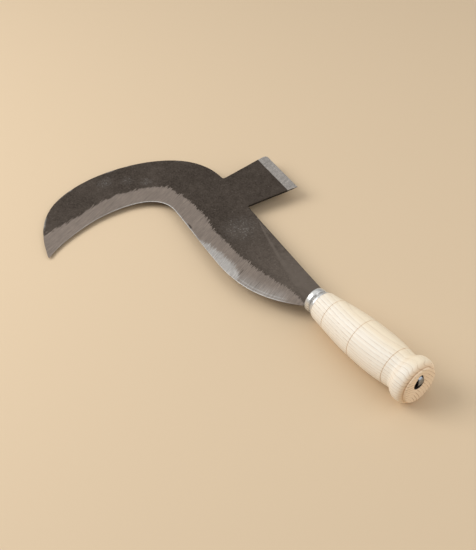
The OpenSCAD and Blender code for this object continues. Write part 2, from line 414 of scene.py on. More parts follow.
# The back axe and the round notch where it meets the blade's back; headings are in degrees
AXE_WIDE = 50.4
AXE_SIDE_HEADING = -100.5
AXE_EDGE_HEADING = 171.8
AXE_CORNER = 3.5
AXE_CORNER_STEPS = 7
NOTCH_ACROSS = -42.6
NOTCH_R = 2.5
NOTCH_STEPS = 6
# Curves of the cutting edge, the blunt tip and the back, as trace takes them
CURVE_STEPS = 44
EDGE_CURVES = (
    (38.5, 0.54, 0, 0.17, CURVE_STEPS),
    (0, 0.185, 0, 0.106, CURVE_STEPS),
    (0, 0.47, 90, 0.16, CURVE_STEPS),
    (90, 0.1, 119, 0.38, CURVE_STEPS))
TIP_CURVES = ((119, 0.6, -19, 0.6, 6),)
BACK_CURVES = (
    (-19, 0.425, -90, 0.46, CURVE_STEPS),
    (-90, 0.28, 174, 0.46, CURVE_STEPS))
BACK_DENT = 0.22
BACK_DENT_SIZE = 7.0
# Where the second noise of a dent is read, so that it differs from the first
BACK_DENT_SEED = Vector((0.0, 0.0, 7.0))

# Widths of the rings of faces inside the outline, and how near a cut may come to a point
RIM = (0.25, 0.35)
CUT_SNAP = 0.02
# Widths along the cutting edge of the ground bevel and of the honed strip: (run from the heel, width)
GROUND = [
    (0, 4), (11, 12.3), (19, 16.8), (34, 20.4), (52, 24), (91, 23.8), (107, 21.8), (125, 21.4),
    (145, 19), (168, 21), (208, 18.1), (216, 24), (224, 21), (241, 19.2), (251, 20.5), (270, 19),
    (293, 15.7), (316, 18.9), (332, 23.2), (352, 28)]
HONED = [
    (70, -7), (75, 8.4), (82, 10.5), (92, 11.7), (112, 10), (122, 7.7), (130, 5.4), (138, 2.4), (150, -7)]
# Brightness of the keen line along the cutting edge, honed steel with a painted highlight: (run from the
# heel, share)
KEEN_AND_HIGHLIGHT = [
    (6, 0), (16, 0.3), (30, 0.9), (72, 0.9), (82, 0.3), (138, 0.3), (150, 0.8), (200, 1), (235, 1),
    (290, 0.5), (345, 0.15)]
# Half the thickness of the keen line itself, and how it grows with the distance from it
KEEN_HALF = 0.05
KEEN_SLOPE = 0.6
# Width of the hammered facet along the spine: (distance from the butt, width)
FACET = [
    (136, 22), (149, 21.3), (162, 20.1), (175, 18.3), (188, 16), (202, 12.8), (216, 10.8), (230, 7.5),
    (245, 3.8), (258, 0.01)]
FACET_DROP = 0.42
# Distance from the ferrule over which the facet starts to drop
FACET_FADE = 30.0
# Waves that the hammer left on the blade's faces, and how far from the blunt edges they fade
WAVE_SIZE = 26.0
WAVE_HEIGHT = 0.11
WAVE_FADE = 4.0

# Inside radius of the bend in the tang, and its steps
TANG_BEND = 1.5
TANG_BEND_STEPS = 6
# How much thicker the hammer left the clenched end, and how much its sides fall off from its middle
CLENCH_SWELL = 1.7
CLENCH_FALL = 0.35
# How far the clenched end lies to the spine's side of the handle's axis
CLENCH_SHIFT = 1.0
# Steps of the clenched end above its bend: (share of its height, taper across, taper in depth)
TONGUE = [
    (0.22, 0.97, 1.0), (0.34, 0.97, 0.96), (0.44, 0.96, 0.86), (0.53, 0.94, 0.7), (0.6, 0.9, 0.5),
    (0.65, 0.8, 0.28), (0.68, 0.6, 0.08)]

# Direction of the grinding strokes, in degrees from the handle's axis
STROKE = -73
# Marks on the bare steel, each as the middle and half the width of a band
CUT_ACROSS = (206.3, 0.8)
CUT_DOWN = (31.4, 6.0)
NICK_RUN = (164.0, 6.0)
NICK_GAP = (1.8, 1.1)
# Scuffed places on the scale: (along, across, reach)
SCUFFS = ((255.0, -8.0, 25.0), (406.0, 55.0, 12.0), (393.0, 35.5, 10.0), (378.0, 21.0, 9.0))
# Places on the back of the hook painted bright, worn steel with painted glints: (along, across, reach)
GLINTS = ((420.0, 89.6, 4.0), (394.0, 136.0, 12.0), (416.0, 41.0, 7.0))
# Runs from the heel over which the paler strip at the belly comes in and goes out
BELLY_IN = (12.0, 26.0)
BELLY_OUT = (82.0, 66.0)
# Runs over which the thicker scale beside the grind comes in and goes out, and its reach from the grind
BESIDE_IN = (15.0, 45.0)
BESIDE_OUT = (170.0, 130.0)
BESIDE_REACH = (11.0, 0.0)
# Where the scale grows paler: along, towards the ferrule, as thinner scale with a painted sheen, and
# across, towards the tip, as thinner scale
THIN_AND_SHEEN_ALONG = (290.0, 165.0)
THINNER_ACROSS = (75.0, 125.0)
# Where, along, the facet's painted ridge highlight gives way to an even painted sheen, and where the back
# starts to be worn and painted with glints
SHEEN_ALONG = (195.0, 172.0)
CHIPS_AND_GLINTS_ALONG = (328.0, 345.0)


def blade_paths(size):
    """The cutting edge, the back with the axe's corner, the axe's edge and the spine, in millimetres."""
    front = size.front / MM
    heel, heel_back, belly, axe_root = (
        Vector((front + x, y)) for x, y in (HEEL, HEEL_BACK, BELLY, AXE_ROOT))
    crown = Vector((size.crown / MM, CROWN_ACROSS))
    hollow = Vector((crown.x - HOLLOW[0], HOLLOW[1]))
    throat = Vector((hollow.x - THROAT[0], THROAT[1]))
    tip = Vector((hollow.x - TIP_BACK, size.hook_reach / MM))
    nose = tip + heading(TIP_HEADING, TIP_BLUNT)
    axe_far = Vector((axe_root.x + AXE_WIDE, -size.axe_reach / MM))
    axe_near = meet(axe_root, AXE_SIDE_HEADING, axe_far, AXE_EDGE_HEADING)
    corner = meet(
        axe_far - Vector((AXE_CORNER, 0.0)), 90,
        axe_far + heading(AXE_EDGE_HEADING - 90, AXE_CORNER), AXE_EDGE_HEADING)
    notch = Vector((axe_far.x + NOTCH_R, NOTCH_ACROSS))
    cutting = trace((heel, belly, throat, hollow, tip), EDGE_CURVES)
    hammered = trace((nose, crown, notch), BACK_CURVES)[1:]
    back = trace((tip, nose), TIP_CURVES)
    back += [p + dent(p) for p in hammered[:-1]] + hammered[-1:]
    back += arc(notch - Vector((0.0, NOTCH_R)), NOTCH_R, 90, 180, NOTCH_STEPS)
    back += arc(corner, AXE_CORNER, 0, AXE_EDGE_HEADING - 270, AXE_CORNER_STEPS)
    axe = [back[-1], axe_near]
    spine = [axe_near, axe_root, heel_back]
    return cutting, back, axe, spine


def dent(point):
    """Small unevenness that the hammer left on the back of the hook."""
    at = Vector((point.x, point.y, 0.0)) / BACK_DENT_SIZE
    return Vector((noise.noise(at), noise.noise(at + BACK_DENT_SEED))) * BACK_DENT


def blade_sheet(size, outline):
    """The blade's flat outline, with a narrow rim and an even grid of lines."""
    bm = bmesh.new()
    ring = [bm.verts.new((p.x, p.y, 0.0)) for p in outline]
    edges = [bm.edges.new(pair) for pair in zip(ring, ring[1:] + ring[:1])]
    inner = bmesh.ops.contextual_create(bm, geom=edges)["faces"]
    for wide in RIM:
        bmesh.ops.inset_region(
            bm, faces=inner, thickness=wide, use_boundary=True, use_even_offset=True)
    pitch = size.pitch / MM
    half_tang = size.tang_wide / MM / 2
    for axis in (0, 1):
        normal = Vector((0.0, 0.0, 0.0))
        normal[axis] = 1.0
        low = min(p[axis] for p in outline)
        high = max(p[axis] for p in outline)
        count = int((high - low) / pitch)
        lines = [low + (high - low) * i / count for i in range(1, count)]
        if axis == 1:
            lines = [at for at in lines if abs(abs(at) - half_tang) > pitch / 4]
            lines += [-half_tang, half_tang]
        for at in lines:
            bmesh.ops.bisect_plane(
                bm, geom=bm.verts[:] + bm.edges[:] + bm.faces[:], dist=CUT_SNAP,
                plane_co=normal * at, plane_no=normal)
    return bm


def shape_blade(bm, size, cutting, back, axe, spine):
    """Raise the sheet to the blade's half thickness, ground to its edges, and note the grind."""
    half = size.thick / MM / 2
    thin = size.edge_thick / MM / 2
    arris = size.arris / MM
    points = np.array([v.co[:2] for v in bm.verts])
    run, gap = along(points, cutting)
    _, axe_gap = along(points, axe)
    _, spine_gap = along(points, spine[1:])
    blunt_gap = np.min([along(points, path)[1] for path in (back, spine)], axis=0)
    width = table(GROUND, run)
    axe_width = size.axe_bevel / MM
    wedge = thin + (half - thin) * np.clip(gap / width, 0.0, 1.0)
    axe_wedge = thin + (half - thin) * np.clip(axe_gap / axe_width, 0.0, 1.0)
    facet = np.clip(1.0 - spine_gap / table(FACET, points[:, 0]), 0.0, 1.0)
    fade = np.clip((points[:, 0] - size.front / MM) / FACET_FADE, 0.0, 1.0)
    away = np.clip(blunt_gap / WAVE_FADE, 0.0, 1.0)
    waves = np.array([noise.noise(Vector((x, y, 0.0)) / WAVE_SIZE) for x, y in points])
    flat = half - FACET_DROP * facet * fade - WAVE_HEIGHT * away * (0.5 + waves)
    inset = np.clip(arris - blunt_gap, 0.0, arris)
    flat -= arris - np.sqrt(arris ** 2 - inset ** 2)
    keen = KEEN_HALF + KEEN_SLOPE * np.minimum(gap, axe_gap)
    height = np.min([flat, wedge, axe_wedge, keen], axis=0)
    unset = np.zeros(len(points))
    layers = {
        "run": run, "gap": gap, "shoulder": gap - width, "hone": gap - table(HONED, run),
        "keen": table(KEEN_AND_HIGHLIGHT, run), "axe": axe_gap - axe_width, "facet": facet, "rim": blunt_gap,
        "wall": unset, "tongue": unset}
    slots = {name: bm.verts.layers.float.new(name) for name in layers}
    for i, vert in enumerate(bm.verts):
        vert.co.z = height[i]
        for name, values in layers.items():
            vert[slots[name]] = values[i]


def close_blade(bm):
    """Drop walls from the sheet's outline to the middle plane and mirror the whole below it."""
    rim = [e for e in bm.edges if e.is_boundary]
    made = bmesh.ops.extrude_edge_only(bm, edges=rim)["geom"]
    wall = bm.verts.layers.float["wall"]
    for item in made:
        if isinstance(item, bmesh.types.BMVert):
            item[wall] = item.co.z
            item.co.z = 0.0
    bmesh.ops.mirror(
        bm, geom=bm.verts[:] + bm.edges[:] + bm.faces[:], axis='Z', merge_dist=WELD)
    bmesh.ops.recalc_face_normals(bm, faces=bm.faces)


def whole(faces):
    """A patch of faces with its edges and points."""
    edges = {e for f in faces for e in f.edges}
    verts = {v for f in faces for v in f.verts}
    return [*verts, *edges, *faces]


def draw_on(bm, faces, place):
    """Extrude a patch of faces, then let place move each new point; the new patch is returned."""
    made = bmesh.ops.extrude_face_region(bm, geom=whole(faces))["geom"]
    for item in made:
        if isinstance(item, bmesh.types.BMVert):
            item.co = place(item.co)
    return [item for item in made if isinstance(item, bmesh.types.BMFace)]


def draw_tang(bm, size):
    """Draw the tang out of the heel, bend its end up and taper it to a rounded tip."""
    front = size.front / MM
    half_wide = size.tang_wide / MM / 2
    tang_thick = size.tang_thick / MM
    narrow = size.tang_end / size.tang_wide
    thinner = size.tang_thick / size.thick
    top = size.clench_top / MM
    start = size.clench_set / MM + tang_thick + TANG_BEND
    centre = Vector((start, 0.0, tang_thick / 2 + TANG_BEND))

    def on_heel(vert):
        return abs(vert.co.x - front) < NEAR and abs(vert.co.y) < half_wide + NEAR

    patch = [f for f in bm.faces if all(on_heel(v) for v in f.verts)]
    if not patch:
        raise RuntimeError("The blade's heel has no faces for the tang")

    def taper_off(co):
        crown = CLENCH_SWELL * math.sqrt(1.0 - CLENCH_FALL * (co.y / half_wide) ** 2)
        return Vector((start, co.y * narrow - CLENCH_SHIFT, co.z * thinner * crown))

    patch = draw_on(bm, patch, taper_off)
    ends = bmesh.ops.spin(
        bm, geom=whole(patch), cent=centre, axis=(0.0, 1.0, 0.0),
        angle=math.pi / 2, steps=TANG_BEND_STEPS)["geom_last"]
    patch = [item for item in ends if isinstance(item, bmesh.types.BMFace)]
    middle = centre.x - TANG_BEND - tang_thick / 2
    level = centre.z
    for rise, taper, thin in TONGUE:
        goal = level + (top - level) * rise

        def place(co, taper=taper, thin=thin, goal=goal):
            across = (co.y + CLENCH_SHIFT) * taper - CLENCH_SHIFT
            return Vector((middle + (co.x - middle) * thin, across, goal))
        patch = draw_on(bm, patch, place)
    tongue = bm.verts.layers.float["tongue"]
    for vert in bm.verts:
        if vert.co.x < start + NEAR:
            vert[tongue] = 1.0


class ForgedSurface(Finish):
    """The blade's surface: where a place lies on it, its noises, and what follows from them."""

    def __init__(self, size):
        super().__init__("forged_steel")
        self.size = size
        self.run = self.attribute("run")
        self.gap = self.attribute("gap")
        self.shoulder = self.attribute("shoulder")
        self.tongue = self.attribute("tongue")
        # Where the narrow sides take a painted shade
        self.wall = self.attribute("wall").step(0.15, 0.5)
        self.station = self.place.part('X')
        self.across = self.place.dot((*heading(STROKE + 90), 0.0))
        self.down = self.place.dot((*heading(STROKE), 0.0))
        self.fine = self.grind(wide=1.1, long=9.0, seed=0.0, detail=2.0, rough=0.55) - 0.5
        self.streak = self.grind(wide=1.3, long=14.0, seed=9.0, detail=3.0, rough=0.6) - 0.5
        self.scratch = self.grind(wide=0.85, long=16.0, seed=3.0, detail=2.0, rough=0.7)
        self.drift = self.place.speckle(12.0, 2.0) - 0.5
        self.grit = self.place.speckle(1.8, 4.0, 0.7)
        self.mottle = self.place.speckle(7.0, 4.0, 0.6)
        self.axe = (self.attribute("axe") + self.drift * 0.8).step(0.35, -0.35)

    def grind(self, wide, long, seed, detail, rough):
        """Noise drawn out along the grinding strokes."""
        return self.vector(self.across / wide, self.down / long, seed).speckle(1.0, detail, rough)

    def bare(self):
        """Where the steel is bare of scale."""
        coarse = self.grind(wide=4.0, long=18.0, seed=5.0, detail=2.0, rough=0.5) - 0.5
        ground = (self.shoulder + (self.fine * 13.0 + coarse * 4.0)).step(0.7, -0.7)
        # The narrow sides are kept out of the bare steel, so that they take the painted shade
        return (ground.larger(self.axe) * (1 - self.wall)).larger(self.tongue)

    def bright(self):
        """Where the bare steel is bright: the honed strip, the axe's bevel, the keen line with its painted
        highlight, and the belly.
        """
        honed = (self.attribute("hone") + self.streak * 15.0 + self.drift * 3.0).step(2.6, -3.6)
        belly = self.run.step(*BELLY_IN) * self.run.step(*BELLY_OUT)
        # The keen line: honed steel with a painted highlight, brightest from the throat into the hook
        keen = self.gap.step(1.2, 0.4) * self.attribute("keen") + self.gap.band(3.6, 1.0) * belly * 0.3
        paler = self.gap.step(17.0, 2.0) * belly * (0.36 + self.streak * 0.7)
        return (honed * (0.85 + self.fine * 1.2)).larger(self.axe * 0.62).larger(keen + paler)

    def scale(self):
        """Colour of the forge scale, thick or thin, with its hammered facet, partly painted sheen and
        highlight.
        """
        broad = self.place.speckle(45.0, 2.0).step(0.4, 0.75)
        thin = (self.grit - 0.5) * 0.9 + (self.mottle - 0.5) * 0.4 + broad * 0.1 + 0.155
        # Paler towards the ferrule: partly thinner scale, partly a painted sheen
        thin = thin + self.station.step(*THIN_AND_SHEEN_ALONG) * 0.39
        thin = thin + self.place.part('Y').step(*THINNER_ACROSS) * 0.05
        beside = self.shoulder.step(*BESIDE_REACH) * self.run.step(*BESIDE_IN) * self.run.step(*BESIDE_OUT)
        plain = (thin - beside * 0.14).blend(self.size.scale_dark, self.size.scale_light)
        facet = self.attribute("facet")
        facet = facet + facet.step(0.0, 0.15) * self.drift * 0.3
        # The facet is thin scale, painted paler with a painted sheen that grows towards the heel and a
        # painted highlight along its ridge
        even = self.station.step(*SHEEN_ALONG)
        ridge_highlight = facet.band(0.16, 0.16) * (1 - even) * 0.4
        sheen = 0.1 + self.mottle.step(0.3, 0.7) * 0.4 + even * 0.35 - facet.step(0.7, 1.0) * 0.15
        return (facet.step(0.0, 0.14) * sheen + ridge_highlight).blend(plain, self.size.facet)

    def worn(self):
        """How far the scale is scuffed on the faces and chipped along the back, where the bright steel is
        also a painted glint.
        """
        worn = self.grit.step(0.64, 0.76) * 0.2
        dash = self.place.speckle(1.9, 3.0, 0.6).step(0.52, 0.66)
        for x, y, reach in SCUFFS:
            worn = worn + self.place.distance((x, y, 0.0)).step(reach, 0.0) * (dash * 0.2 + 0.03)
        # Along the back: worn steel with painted glints
        edge = self.attribute("rim").step(2.2, 0.5)
        flakes = self.place.speckle(5.0, 4.0, 0.7).step(0.52, 0.66)
        chips_and_glints = flakes * self.place.speckle(23.0, 2.0).step(0.42, 0.6)
        worn = worn + edge * chips_and_glints * self.station.step(*CHIPS_AND_GLINTS_ALONG) * 0.35
        for x, y, reach in GLINTS:
            worn = worn + edge * self.place.distance((x, y, 0.0)).step(reach, reach * 0.3) * 0.35
        return worn.smaller(1.0)

    def steel(self, bright):
        """Colour of the bare steel, with its strokes, a cut, a nick and the clenched end."""
        stroke = self.grind(wide=1.6, long=20.0, seed=8.0, detail=1.0, rough=0.5) - 0.5
        rub = self.place.speckle(1.6, 3.0, 0.65) - 0.5
        tone = 0.5 + self.scratch + rub * (0.3 + self.axe * 1.1) + stroke * 0.3 + self.drift * 0.3
        clean = bright.blend(self.size.ground, self.size.honed) * tone
        cut = self.across.band(*CUT_ACROSS) * self.down.band(*CUT_DOWN)
        nick = self.run.band(*NICK_RUN) * self.gap.band(*NICK_GAP) * (rub + 0.5).step(0.35, 0.55)
        marked = (cut * 0.5).larger(nick * 0.85).blend(clean, self.size.scale_dark)
        return self.tongue.blend(marked, self.size.clench)


def steel_finish(size):
    """Dark forge scale that gives way to ground steel, and that to a honed strip; the narrow sides take a
    painted shade.
    """
    blade = ForgedSurface(size)
    bare = blade.bare()
    bright = blade.bright()
    scale = blade.worn().blend(blade.scale(), size.honed)
    # Painted shade on the narrow sides
    scale = blade.wall.blend(scale, size.wall_shade)
    rough = 0.62 - bare * 0.1 - bright * 0.08 - blade.tongue * 0.32
    height = (1 - bare) * (blade.grit * 0.06 + blade.mottle * 0.06) + bare * blade.scratch * 0.03
    blade.set(
        Base_Color=bare.blend(scale, blade.steel(bright)),
        Metallic=bare * 0.5 + blade.tongue * 0.5,
        Roughness=rough + (blade.scratch - 0.5) * 0.2 + blade.grit * 0.15,
        Normal=height.bump(1.0, 0.6),
        Specular_IOR_Level=0.22)
    return blade.material


class BILLHOOK_OT_blade(bpy.types.Operator):
    """Forged blade with its ground edges, its back axe and its tang"""
    bl_idname = "billhook.blade"
    bl_label = "Add Blade"

    def execute(self, context):
        size = context.scene.billhook.blade
        cutting, back, axe, spine = blade_paths(size)
        bm = blade_sheet(size, cutting + back[1:] + spine)
        shape_blade(bm, size, cutting, back, axe, spine)
        close_blade(bm)
        draw_tang(bm, size)
        finish_piece(bm, "forged_blade", "blade", steel_finish(size), sharp=50)
        return {'FINISHED'}


# Ferrule

# Forms of the ferrule, in millimetres
THIN_BEAD_HIGH = 1.6
THIN_BEAD_DROP = 0.4
THIN_BEAD_TOP = 1.33
THIN_BEAD_LONG = 4.0
RING_GROOVE_LONG = 1.0
BROAD_BEAD_HIGH = 1.0
# Curves of the ferrule's section, as trace takes them
FERRULE_CURVES = (
    (30, 0.4, 90, 0.4, 6),
    (90, 0.5, 130, 0.3, 10),
    (90, 0.3, 60, 0.3, 4),
    (40, 0.4, 90, 0.5, 8),
    (90, 0.5, 160, 0.4, 10))
# Where the darker band in the groove starts and ends, from the seat, and how soft its borders are
DARKER_START = 3.5
DARKER_END = 5.6
DARKER_SOFT = 0.5
# How quickly the turning marks change along the ferrule and round it
TURNING_ALONG = 9.0
TURNING_ROUND = 0.15


def ferrule_profile(size):
    """The ferrule's section as (radius, station) points, from its bore round and back."""
    seat = size.seat / MM
    front = size.front / MM
    bead = size.bead / MM
    bore = size.bore / MM
    groove = bead - THIN_BEAD_HIGH
    near = seat + THIN_BEAD_LONG
    far = near + RING_GROOVE_LONG
    stops = (
        Vector((bead - THIN_BEAD_DROP, seat)),
        Vector((bead, seat + THIN_BEAD_TOP)),
        Vector((groove, near)),
        Vector((groove, far)),
        Vector((groove + BROAD_BEAD_HIGH, (far + front) / 2)),
        Vector((groove, front)))
    start = Vector((bore, seat))
    return [start] + trace(stops, FERRULE_CURVES) + [Vector((bore, front)), start]


def plate_finish(size):
    """Bright plating with turning marks, smudges and a darker band in the groove."""
    finish = Finish("bright_plate")
    place = finish.place
    station = place.part('X') - size.seat / MM
    groove = (station - DARKER_START).step(0.0, DARKER_SOFT) * (station - DARKER_END).step(0.0, -DARKER_SOFT)
    marks = finish.vector(
        station * TURNING_ALONG, place.part('Y') * TURNING_ROUND, place.part('Z') * TURNING_ROUND)
    smudge = place.speckle(2.6, 3.0)
    # Darker band in the groove, broken by the smudges
    darkening = groove * smudge.step(0.25, 0.6)
    tint = (smudge.step(0.45, 0.75) * 0.15).blend(size.plate, size.darkening)
    finish.set(
        Base_Color=(darkening * 0.6).blend(tint, size.darkening),
        Metallic=0.68 - darkening * 0.4,
        Roughness=0.22 + smudge * 0.16 + darkening * 0.3,
        Normal=marks.speckle(1.0).bump(0.02, 0.3))
    return finish.material


class BILLHOOK_OT_ferrule(bpy.types.Operator):
    """Plated ferrule with a broad bead, a groove and a thin bead"""
    bl_idname = "billhook.ferrule"
    bl_label = "Add Ferrule"

    def execute(self, context):
        size = context.scene.billhook.ferrule
        bm = bmesh.new()
        spin(bm, ferrule_profile(size))
        bmesh.ops.remove_doubles(bm, verts=bm.verts, dist=WELD)
        finish_piece(bm, "plated_ferrule", "ferrule", plate_finish(size), sharp=55)
        return {'FINISHED'}


# Handle

# Forms of the handle, in millimetres: the disc at the butt, and the stations of the bead, neck and grip
DISC_ROUND = 1.5
DISC_STEPS = 6
CREASE_AT = 1.9
CREASE_DEEP = 0.9
BEAD_AT = 10.2
NECK_AT = 21.8
GRIP_AT = 52.0
SHOULDER_LONG = 5.0
SEAT_R = 13.4
SPIGOT_R = 9.8
# Curves of the handle's section, as trace takes them
POMMEL_CURVES = ((16, 0.4, 90, 0.5, 16), (90, 0.5, 90, 0.35, 18))
GRIP_CURVES = ((84, 0.25, 90, 0.5, 30), (90, 0.42, 98, 0.4, 60), (98, 0.4, 140, 0.3, 8))
# The scribed grooves: stations, half the width, and section as shares of that half and of the depth
GROOVE_AT = (28.7, 70.0, 107.6)
GROOVE_HALF = 0.5
GROOVE_SECTION = (
    (-1.15, 0.0), (-0.75, 0.12), (-0.4, 0.6), (0.0, 1.0), (0.4, 0.6), (0.75, 0.12), (1.15, 0.0))
# Share of half the width within which the plain profile gives way to a groove
GROOVE_CLEAR = 1.3

# The pocket's two rounds in the butt: (radius, across, up)
POCKET = ((5.8, 1.4, 3.7), (3.0, 0.2, 10.4))
# Steps of the pocket's wall: (depth, growth of its outline)
POCKET_STEPS = ((0.0, 0.45), (0.08, 0.2), (0.25, 0.04), (0.5, 0.0), (5.2, 0.0))
# How far the pocket's rings stand apart until they are bridged
POCKET_APART = 1.0
# Radius inside which only the pocket lies below the butt's face, and the depth at which its painted shade
# is full
BUTT_FLAT = 16.0
SHADE_FULL_AT = 0.4
# Half the width of the painted shade in the crease between the disc and the bead
CREASE_SHADE_HALF = 1.2

# Growth lines: the middle of the tree, their distance, how far they wander and how they lean
PITH = (0.0, 22.0, -20.0)
RING_PITCH = 2.8
RING_WANDER = 3.2
RING_LEAN = 0.012
# Radius at which the growth lines run straight over the pommel, and where, along, they start to
STRAIGHT_R = 19.0
STRAIGHT_ALONG = (33.0, 20.0)
# Direction away from the pith, and the distances that way over which the wood turns warm, partly wood
# farther from the pith and partly painted warm bounce light
OUTWARD = (0.0, -0.74, 0.67)
WARM_REACH = (5.0, 18.0)
# Sizes of the grain's features along and across the handle
WANDER_SIZE = (170.0, 16.0, 16.0)
FIBRE_SIZE = (40.0, 0.5, 0.5)
PORE_SIZE = (26.0, 0.42, 0.42)
END_GRAIN_SIZE = (3.0, 0.3, 0.3)


def handle_profile(size):
    """The handle's section as (radius, station) points, from the butt's rim to the spigot."""
    disc = size.disc / MM
    seat = size.seat / MM
    crease = Vector((disc - CREASE_DEEP, CREASE_AT))
    bead = Vector((size.pommel / MM, BEAD_AT))
    neck = Vector((size.neck / MM, NECK_AT))
    grip = Vector((size.grip / MM, GRIP_AT))
    shoulder = Vector((size.shoulder / MM, seat - SHOULDER_LONG))
    end = Vector((SEAT_R, seat))
    points = arc(Vector((disc - DISC_ROUND, DISC_ROUND)), DISC_ROUND, -90, 0, DISC_STEPS)
    points += trace((crease, bead, neck), POMMEL_CURVES)
    points += scribe(trace((neck, grip, shoulder, end), GRIP_CURVES)[1:], size.groove / MM)
    return points + [Vector((SPIGOT_R, seat)), Vector((SPIGOT_R, size.front / MM))]


def scribe(body, deep):
    """Cut the scribed grooves into the grip's profile."""
    stations = [p.y for p in body]
    radii = [p.x for p in body]
    clear = GROOVE_HALF * GROOVE_CLEAR
    points = [p for p in body if all(abs(p.y - at) > clear for at in GROOVE_AT)]
    for at in GROOVE_AT:
        for share, cut in GROOVE_SECTION:
            station = at + share * GROOVE_HALF
            points.append(Vector((np.interp(station, stations, radii) - cut * deep, station)))
    return sorted(points, key=lambda p: p.y)


def pocket_point(way, deep, grow):
    """The point of the pocket's outline, grown by a margin, that lies farthest in a direction."""
    def reach(ring):
        return ring[0] + ring[1] * way.x + ring[2] * way.y
    radius, across, up = max(POCKET, key=reach)
    return Vector((deep, across + (radius + grow) * way.x, up + (radius + grow) * way.y))


def sink_pocket(bm):
    """Bridge the butt's rim to the pocket's mouth, and that to the rings that sink it.

    The rings stand clear of the butt's plane until they are bridged, so that no loop is turned over.
    """
    last = [e for e in bm.edges if e.is_boundary and e.verts[0].co.x < NEAR]
    rings = []
    for deep, grow in POCKET_STEPS:
        ring = bmesh.ops.create_circle(bm, segments=TURNED_STEPS, radius=1.0)["verts"]
        rings.append(ring)
        for vert in ring:
            vert.co = pocket_point(vert.co, deep + POCKET_APART * len(rings), grow)
        edges = list({e for v in ring for e in v.link_edges})
        bmesh.ops.bridge_loops(bm, edges=last + edges)
        last = edges
    for ring, (deep, _) in zip(rings, POCKET_STEPS):
        for vert in ring:
            vert.co.x = deep


def mark_wood(bm):
    """Note where the fibres are cut across or turn to the butt, where the grooves lie, and where shade is
    painted into the crease and the pocket.
    """
    end = bm.verts.layers.float.new("end_grain")
    groove = bm.verts.layers.float.new("groove")
    burn = bm.verts.layers.float.new("burn")
    pocket_floor = POCKET_STEPS[-1][0]
    for vert in bm.verts:
        station, across, up = vert.co
        # Faces turned to the butt count in full: end grain, with a painted warm shade
        vert[end] = max(-vert.normal.x, vert.normal.x / 2) if station > CREASE_AT else 1.0
        # The pocket's walls take a painted shade, full below a small depth
        in_pocket = station <= pocket_floor and math.hypot(across, up) < BUTT_FLAT
        vert[burn] = min(1.0, station / SHADE_FULL_AT) if in_pocket else 0.0
        scribed = 1.0 - min(abs(station - at) for at in GROOVE_AT) / GROOVE_HALF
        crease_shade = 1.0 - abs(station - CREASE_AT) / CREASE_SHADE_HALF
        # The scribed grooves are scorched; the crease takes a painted shade
        vert[groove] = max(0.0, scribed, crease_shade)


def wood_finish(size):
    """Straight-grained pale wood with lines of pores, warmer on one side partly as painted bounce light,
    darker where it is cut across its fibres and, as painted shade, where it turns to the butt, in the
    crease and in the pocket.
    """
    finish = Finish("pale_wood")
    place = finish.place
    end = finish.attribute("end_grain").step(0.05, 0.95)

    # Growth lines
    wander = (place / WANDER_SIZE).speckle(1.0, 2.0) - 0.5
    section = place * (0.0, 1.0, 1.0)
    off_axis = section.distance((0.0, 0.0, 0.0))
    pommel = place.part('X').step(*STRAIGHT_ALONG) * (1 - end)
    follow = 1 + pommel * (STRAIGHT_R / off_axis - 1)
    radius = (section * finish.vector(follow, follow, follow)).distance(PITH)
    turns = (radius + wander * RING_WANDER + place.part('X') * RING_LEAN) / RING_PITCH
    year = turns.node("ShaderNodeMath", {"operation": 'FRACT'}, {0: turns})
    early = year.step(0.0, 0.05) * year.step(0.34, 0.14)
    late = year.step(0.3, 1.0) * year.step(1.0, 0.97)

    # Wood along its fibres
    fibre = (place / FIBRE_SIZE).speckle(1.0, 3.0, 0.6)
    dashes = (place / PORE_SIZE).speckle(1.0, 2.0, 0.5)
    pore = early * (0.25 + dashes.step(0.35, 0.65) * 0.75) + dashes.step(0.6, 0.74) * 0.35
    # Warmer towards one side: wood farther from the pith, with a painted warm bounce light
    outer_and_bounce = place.dot(OUTWARD).step(*WARM_REACH)
    face = (late * 0.2 + (fibre - 0.5) * 0.8 + 0.1).blend(outer_and_bounce.blend(size.pale, size.warm_wood_and_light), size.late)
    face = (pore * (0.45 - outer_and_bounce * 0.2)).blend(face, size.pore)

    # Wood cut across its fibres or turned to the butt, with its painted shade, and the grooves, the
    # crease's painted shade and the pocket's painted shade
    ring = (place / END_GRAIN_SIZE).speckle(1.0, 2.0, 0.6)
    clear = place.speckle(9.0, 2.0).step(0.42, 0.62)
    cut = (early * (0.25 + clear * 0.5) + late * 0.1 + (ring - 0.5) * 0.5).blend(size.end, size.scorch_and_shade)
    wood = end.blend(face, cut)
    # Scorched wood in the scribed grooves, and painted shade in the crease
    wood = (finish.attribute("groove") * 0.24).blend(wood, size.scorch_and_shade)
    # Painted shade in the pocket
    wood = finish.attribute("burn").blend(wood, size.burn)

    height = fibre * 0.04 - pore * 0.05
    finish.set(
        Base_Color=wood,
        Roughness=0.5 + (fibre - 0.5) * 0.2 + end * 0.2 + pore * 0.12,
        Coat_Weight=0.05 * (1 - end),
        Normal=height.bump(1.0, 0.5),
        Coat_Roughness=0.3,
        Specular_IOR_Level=0.35)
    return finish.material


class BILLHOOK_OT_handle(bpy.types.Operator):
    """Turned handle with its grooves, pommel and pocketed butt"""
    bl_idname = "billhook.handle"
    bl_label = "Add Handle"

    def execute(self, context):
        size = context.scene.billhook.handle
        bm = bmesh.new()
        spin(bm, handle_profile(size))
        bmesh.ops.remove_doubles(bm, verts=bm.verts, dist=WELD)
        sink_pocket(bm)
        bmesh.ops.holes_fill(bm, edges=[e for e in bm.edges if e.is_boundary], sides=0)
        bmesh.ops.recalc_face_normals(bm, faces=bm.faces)
        mark_wood(bm)
        finish_piece(bm, "turned_handle", "handle", wood_finish(size), sharp=50)
        return {'FINISHED'}


# Stage

